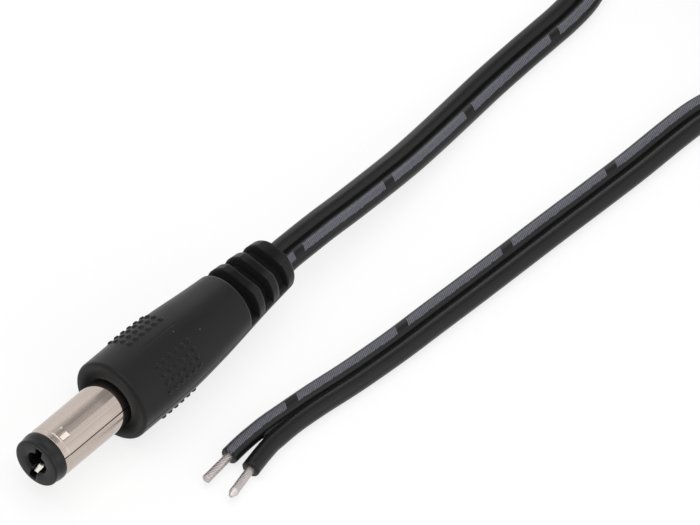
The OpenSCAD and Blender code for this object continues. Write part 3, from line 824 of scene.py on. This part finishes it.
# %% [markdown]
# ## The handle
# The handle is one soft moulding: a straight grip with pips, a curve into a taper, and three slots
# that let its end bend. Its radius depends on the place along the axis and the angle round it.
# Smooth steps blend the forms, and the grid is finer at details.

# %% Handle sizes
GRIP_R, TAIL_R, SHOULDER_ROUND, TAIL_ROUND = 4.55, 2.875, 0.35, 0.5
SHOULDER, GRIP_END, BLEND_L, RELIEF_START, REAR = 11.5, 15.4, 8.0, 29.2, 37.2
RELIEF_SLOT, RELIEF_RIB, SLOTS, RELIEF_FLAT, FLAT_LEAN = 1.5, 1.0, 3, 2.85, 3.5
PIP_R, PIP_H, PIP_PITCH, PIPS, PIP_ROWS, PIP_START = 0.31, 0.18, 0.95, 6, 4, 4.1
ROW_STEP, FIRST_ROW = 12.6, 24.5
COVER_R, SPINE_TOP, SPINE_BOTTOM = 1.55, 0.3, 1.4
# The last of these is no depth: it sets full painted shade on the handle's face at its inner edge
# round the barrel.
LINE_W, PARTING_DEPTH, FACE_RING_SHADE = 0.05, 0.05, 0.7
TOP_LINE_TURN, TOP_LINE_START, TOP_LINE_END, TOP_LINE_DEPTH = -5.5, 15.7, 21.1, 0.035
REAR_BEND, BEND_START, BEND_REACH = 0.18, 25, 9
HOLLOW_END, HOLE_WEB_H = 23.9, 0.3
slot_starts = [RELIEF_START + k * (RELIEF_SLOT + RELIEF_RIB) for k in range(SLOTS)]
taper_slope = 2 * (GRIP_R - TAIL_R) / (2 * (REAR - GRIP_END) - BLEND_L)
blend_r = BLEND_L / np.sin(np.arctan(taper_slope))


def handle_outline(x):
    """Radius of the plain handle: rounded shoulder, straight grip, an arc, the taper and the
    rounded rear edge."""
    into_round = np.clip((SHOULDER + SHOULDER_ROUND - x) / SHOULDER_ROUND, 0, 1)
    shoulder = SHOULDER_ROUND * (1 - np.sqrt(1 - into_round ** 2))
    bend = np.clip(x - GRIP_END, 0, BLEND_L)
    arc = blend_r - np.sqrt(blend_r ** 2 - bend ** 2)
    taper = np.maximum(x - GRIP_END - BLEND_L, 0) * taper_slope
    into_end = np.clip(1 - (REAR - x) / TAIL_ROUND, 0, 1)
    rear_edge = TAIL_ROUND * (1 - np.sqrt(1 - into_end ** 2))
    return GRIP_R - shoulder - arc - taper - rear_edge


def pip_height(x, turn):
    """Height of the grip's pips: each is a flat-topped dome in its cell. Distances from the
    nearest pip are measured along the handle and round it."""
    along_pip = (x - SHOULDER - PIP_START) / PIP_PITCH
    nearest = np.clip(np.round(along_pip), 0, PIPS - 1)
    dx = (along_pip - nearest) * PIP_PITCH
    from_pole = np.abs((turn + 90) % 180 - 90)
    row = np.clip(np.round((from_pole - FIRST_ROW) / ROW_STEP), 0, PIP_ROWS - 1)
    dy = np.radians(from_pole - FIRST_ROW - row * ROW_STEP) * GRIP_R
    return PIP_H * smooth((PIP_R + 0.04 - np.hypot(dx, dy)) / 0.16)


def core_circle(r, sin, cos):
    """Distance from the axis to a circle of radius r round either core's middle, which is y to the
    side: y sin + sqrt(r^2 - (y cos)^2)."""
    return CORE_Y * sin + np.sqrt(np.maximum(r ** 2 - (CORE_Y * cos) ** 2, 0))


def core_outline(turn, outline):
    """Radius of what the slots leave: the cover round the lead, whose top is flat and whose sides
    are round, and the two spines along the sides, which reach the outline."""
    sin, cos = unsigned(turn)
    flat = COVER_R / np.maximum(cos, 1e-6)
    cover = np.where(flat * sin < CORE_Y, flat, core_circle(COVER_R, sin, cos))
    spine_half = np.where(np.cos(np.radians(turn)) > 0, SPINE_TOP, SPINE_BOTTOM)
    spine = np.minimum(spine_half / np.maximum(cos, 1e-6), outline)
    return np.maximum(cover, spine)


def slot_depth(x, edge=0.05):
    """1 inside a slot, 0 on a rib, with the mould's small radius at each edge."""
    return np.max([smooth((x - start) / edge) * smooth((start + RELIEF_SLOT - x) / edge)
                   for start in slot_starts], axis=0)


# %% Handle surface
def handle_radius(x, turn):
    """The whole height field: outline, flats of the strain relief, slots, pips and the fine lines
    where the halves of the mould met."""
    outline = handle_outline(x)
    flats_start = RELIEF_START + RELIEF_SLOT / 2
    flat = RELIEF_FLAT - (x - flats_start) * np.tan(np.radians(FLAT_LEAN))
    flat = flat / np.maximum(unsigned(turn)[1], 1e-6)
    r = np.where(x > flats_start, np.minimum(outline, flat), outline)
    r = r + slot_depth(x) * (core_outline(turn, outline) - r)
    parting = np.exp(-(round_distance(turn % 180, 90, r) / LINE_W) ** 2)
    top_line = (np.exp(-(round_distance(turn, TOP_LINE_TURN, r) / LINE_W) ** 2)
                * smooth((x - TOP_LINE_START) / 0.3) * smooth((TOP_LINE_END - x) / 0.3))
    return r + pip_height(x, turn) - PARTING_DEPTH * parting - TOP_LINE_DEPTH * top_line


def along_samples():
    """Distances along the handle: fine on the pips, at the slots' edges and at both ends."""
    shoulder = SHOULDER + SHOULDER_ROUND * (1 - np.cos(np.linspace(0, np.pi / 2, 7)))
    first_pip = SHOULDER + PIP_START
    pips = np.arange(first_pip - 0.45, first_pip + (PIPS - 1) * PIP_PITCH + 0.5, 0.06)
    slots = [start + edge + inwards * d for start in slot_starts
             for edge, inwards in ((0, 1), (RELIEF_SLOT, -1))
             for d in (0, 0.012, 0.025, 0.038, 0.05)]
    slots += [RELIEF_START + RELIEF_SLOT / 2 + d for d in (-0.02, 0.0, 0.005, 0.015, 0.03)]
    rest = np.concatenate([np.arange(SHOULDER + 0.4, RELIEF_START, 0.45),
                           np.arange(RELIEF_START + 0.2, REAR - TAIL_ROUND, 0.3)])
    rear_edge = REAR - TAIL_ROUND * (1 - np.sin(np.linspace(0, np.pi / 2, 9)))
    x = np.concatenate([shoulder, pips, rest, slots, rear_edge])
    x = np.unique(np.round(x, 4))
    near_pip = (x > pips[0]) & (x < pips[-1])
    return np.array([v for v, n in zip(x, near_pip) if not n or np.min(np.abs(pips - v)) < 1e-3])


def handle_surface():
    """Rows run along the outside from the shoulder to the rear end and back through the hollow
    that the lead, the inner moulding and the barrel's anchor fill."""
    x = along_samples()
    patches = [(pole + side * (FIRST_ROW + 1.5 * ROW_STEP), 24, 0.85)
               for pole in (0, 180) for side in (-1, 1)]
    lines = [(middle, 1.6, 0.4) for middle in (90, 270, TOP_LINE_TURN)]
    turn = turn_samples(3.0, patches + lines)
    r = handle_radius(x[:, None], turn[None])
    outer = around_axis(nose_x + x[:, None], r, turn[None])
    outer[..., 1] += REAR_BEND * smooth((x - BEND_START) / BEND_REACH)[:, None]
    sin, cos = unsigned(turn)
    lead_hole = np.where(sin > 0, core_circle(CORE_R, sin, cos), HOLE_WEB_H)
    hollow = [(REAR, lead_hole), (HOLLOW_END, lead_hole), (HOLLOW_END, FLANGE_R),
              (FLANGE_START, FLANGE_R), (FLANGE_START, ANCHOR_R), (SHOULDER, BARREL_R)]
    inner = np.stack([around_axis(nose_x + hx, hr * np.ones(len(turn)), turn) for hx, hr in hollow])
    # The UV map gets the depth below the outline, from which the finish paints shade into the
    # slots. The last hollow row gets a set value instead, so painted shade also darkens the face
    # towards the barrel.
    depth = handle_outline(x)[:, None] - r
    depth = np.concatenate([depth, np.zeros((len(hollow) - 1, len(turn))),
                            np.full((1, len(turn)), FACE_RING_SHADE)])
    depth = np.pad(depth, ((0, 1), (0, 1)), mode="wrap")
    return np.concatenate([outer, inner]), np.stack([depth, depth], axis=-1)


# %% [markdown]
# ## Soft black moulding
# The handle's plastic is fine-matt: light spreads over it, and it turns paler only where it is
# seen at a grazing angle.

# %% Handle finish and piece
def moulding_finish():
    """Matt black with a fine grain, slow flow marks and sparse dust specks. The UV map holds the
    depth below the outline, and from it the slots and the ring of the face round the barrel get
    painted shade: a near-black colour and a higher roughness."""
    material, tree, shader = finish("handle_moulding", (0.008, 0.008, 0.0083), 0.46,
                                    Specular_IOR_Level=0.2, Sheen_Weight=0.13,
                                    Sheen_Roughness=0.4)
    flow = noise(tree, 1.0, (4, 2, 2))
    black = mix_colors(tree, flow, (0.007, 0.007, 0.0073, 1), (0.0095, 0.0094, 0.0098, 1))
    cells = node(tree, "TexVoronoi", {"Vector": object_place(tree), "Scale": 0.75 / MM})
    speck = between(tree, cells.outputs["Distance"], 0.03, 0.06, 1, 0)
    chosen = between(tree, node(tree, "SeparateColor", {0: cells.outputs["Color"]}).outputs[0],
                     0.80, 0.82, 0, 0.55)
    # Painted shade: the slots and the face round the barrel get a near-black colour and more
    # roughness, by the depth in the UV map.
    painted_shade = between(tree, uv_parts(tree)["X"], 0.1, 0.5, 0, 1)
    black = mix_colors(tree, painted_shade, black, (0.0012, 0.0011, 0.0011, 1))
    color = mix_colors(tree, times(tree, speck, chosen), black, (0.35, 0.34, 0.33, 1))
    satin = between(tree, flow, 0.3, 0.7, 0.42, 0.5)
    coat(tree, shader, color, math_node(tree, "ADD", satin, times(tree, painted_shade, 0.4)),
         noise(tree, 12, detail=5, roughness=0.6), 0.012, 0.45)
    return material


moulding = moulding_finish()
handle_points, handle_shade_depth = handle_surface()
handle = make_piece("handle_body", [{"points": handle_points, "wrap": (True, True),
                                     "uv": handle_shade_depth}], moulding)
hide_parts("handle")

# %% [markdown]
# ## Floor and light
# The plug lies on a white table in even light from large soft boxes. Seen directly, part of the
# table's brightness is its own, so it reads as white while the shadow stays.

# %% Floor
TABLE_Z, TABLE_HALF = -0.00002, 3.0


def bare_material(name):
    """A material and its node tree, which is empty."""
    material = bpy.data.materials.new(name)
    material.use_nodes = True
    material.node_tree.nodes.clear()
    return material, material.node_tree


def seen_directly(tree):
    """1 for rays from the camera, off a mirror-like surface or through glass, and 0 for others."""
    rays = node(tree, "LightPath").outputs
    direct = math_node(tree, "MAXIMUM", rays["Is Camera Ray"], rays["Is Glossy Ray"])
    return math_node(tree, "MAXIMUM", direct, rays["Is Transmission Ray"])


def make_card(name, low, high, z, material):
    """A level rectangle between two corners, at height z."""
    (x0, y0), (x1, y1) = low, high
    mesh = bpy.data.meshes.new(name)
    mesh.from_pydata([(x0, y0, z), (x1, y0, z), (x1, y1, z), (x0, y1, z)], [], [(0, 1, 2, 3)])
    mesh.materials.append(material)
    return new_object(name, mesh)


def table_finish():
    """Diffuse white for the light on the object. Seen directly, a plain glow is mixed in."""
    material, tree = bare_material("table_white")
    white = node(tree, "BsdfDiffuse", {"Color": (0.82, 0.82, 0.82, 1)})
    dim = node(tree, "BsdfDiffuse", {"Color": (0.3, 0.3, 0.3, 1)})
    glow = node(tree, "Emission", {"Color": (1, 1, 1, 1), "Strength": 0.76})
    seen = node(tree, "AddShader", {0: dim.outputs[0], 1: glow.outputs[0]})
    mixed = node(tree, "MixShader", {0: seen_directly(tree), 1: white.outputs[0],
                                     2: seen.outputs[0]})
    node(tree, "OutputMaterial", {"Surface": mixed.outputs[0]})
    return material


table = make_card("table", (-TABLE_HALF, -TABLE_HALF), (TABLE_HALF, TABLE_HALF), TABLE_Z,
                  table_finish())

# %% Lights and world
FLAG_HEIGHT, FLAG_LEVEL = 0.4, 0.45


def soft_box(name, place, size, power):
    """Square area lamp that looks at the plug."""
    data = bpy.data.lights.new(name, "AREA")
    data.energy, data.size = power, size
    lamp = new_object(name, data)
    lamp.location = place
    lamp.rotation_euler = (-Vector(place)).to_track_quat("-Z", "Y").to_euler()


def make_flag(low, high):
    """Grey card that only mirror-like reflections see. It darkens the band above the plug, as the
    gap between two soft boxes does, and neither shades nor lights anything."""
    material, tree = bare_material("flag")
    glow = node(tree, "Emission", {"Color": (FLAG_LEVEL, FLAG_LEVEL, FLAG_LEVEL, 1)})
    node(tree, "OutputMaterial", {"Surface": glow.outputs[0]})
    flag = make_card("flag", low, high, FLAG_HEIGHT, material)
    flag.visible_camera = flag.visible_diffuse = flag.visible_shadow = False
    flag.visible_transmission = flag.visible_volume_scatter = False
    return flag


soft_box("overhead_box", (0.0, 0.05, 0.6), 0.6, 1.5)
soft_box("far_box", (0.47, 0.33, 0.18), 0.25, 0.25)
soft_box("near_box", (0.1, -0.55, 0.3), 0.35, 0.5)
flag = make_flag((0.12, -0.085), (1.2, 0.34))

world = bpy.data.worlds.new("studio")
bpy.context.scene.world = world
world.use_nodes = True
studio = world.node_tree
studio.links.new(between(studio, seen_directly(studio), 0, 1, 0.45, 1.0),
                 studio.nodes["Background"].inputs["Strength"])
studio.nodes["Background"].inputs["Color"].default_value = (1, 1, 1, 1)
bpy.context.scene.view_settings.view_transform = "Standard"
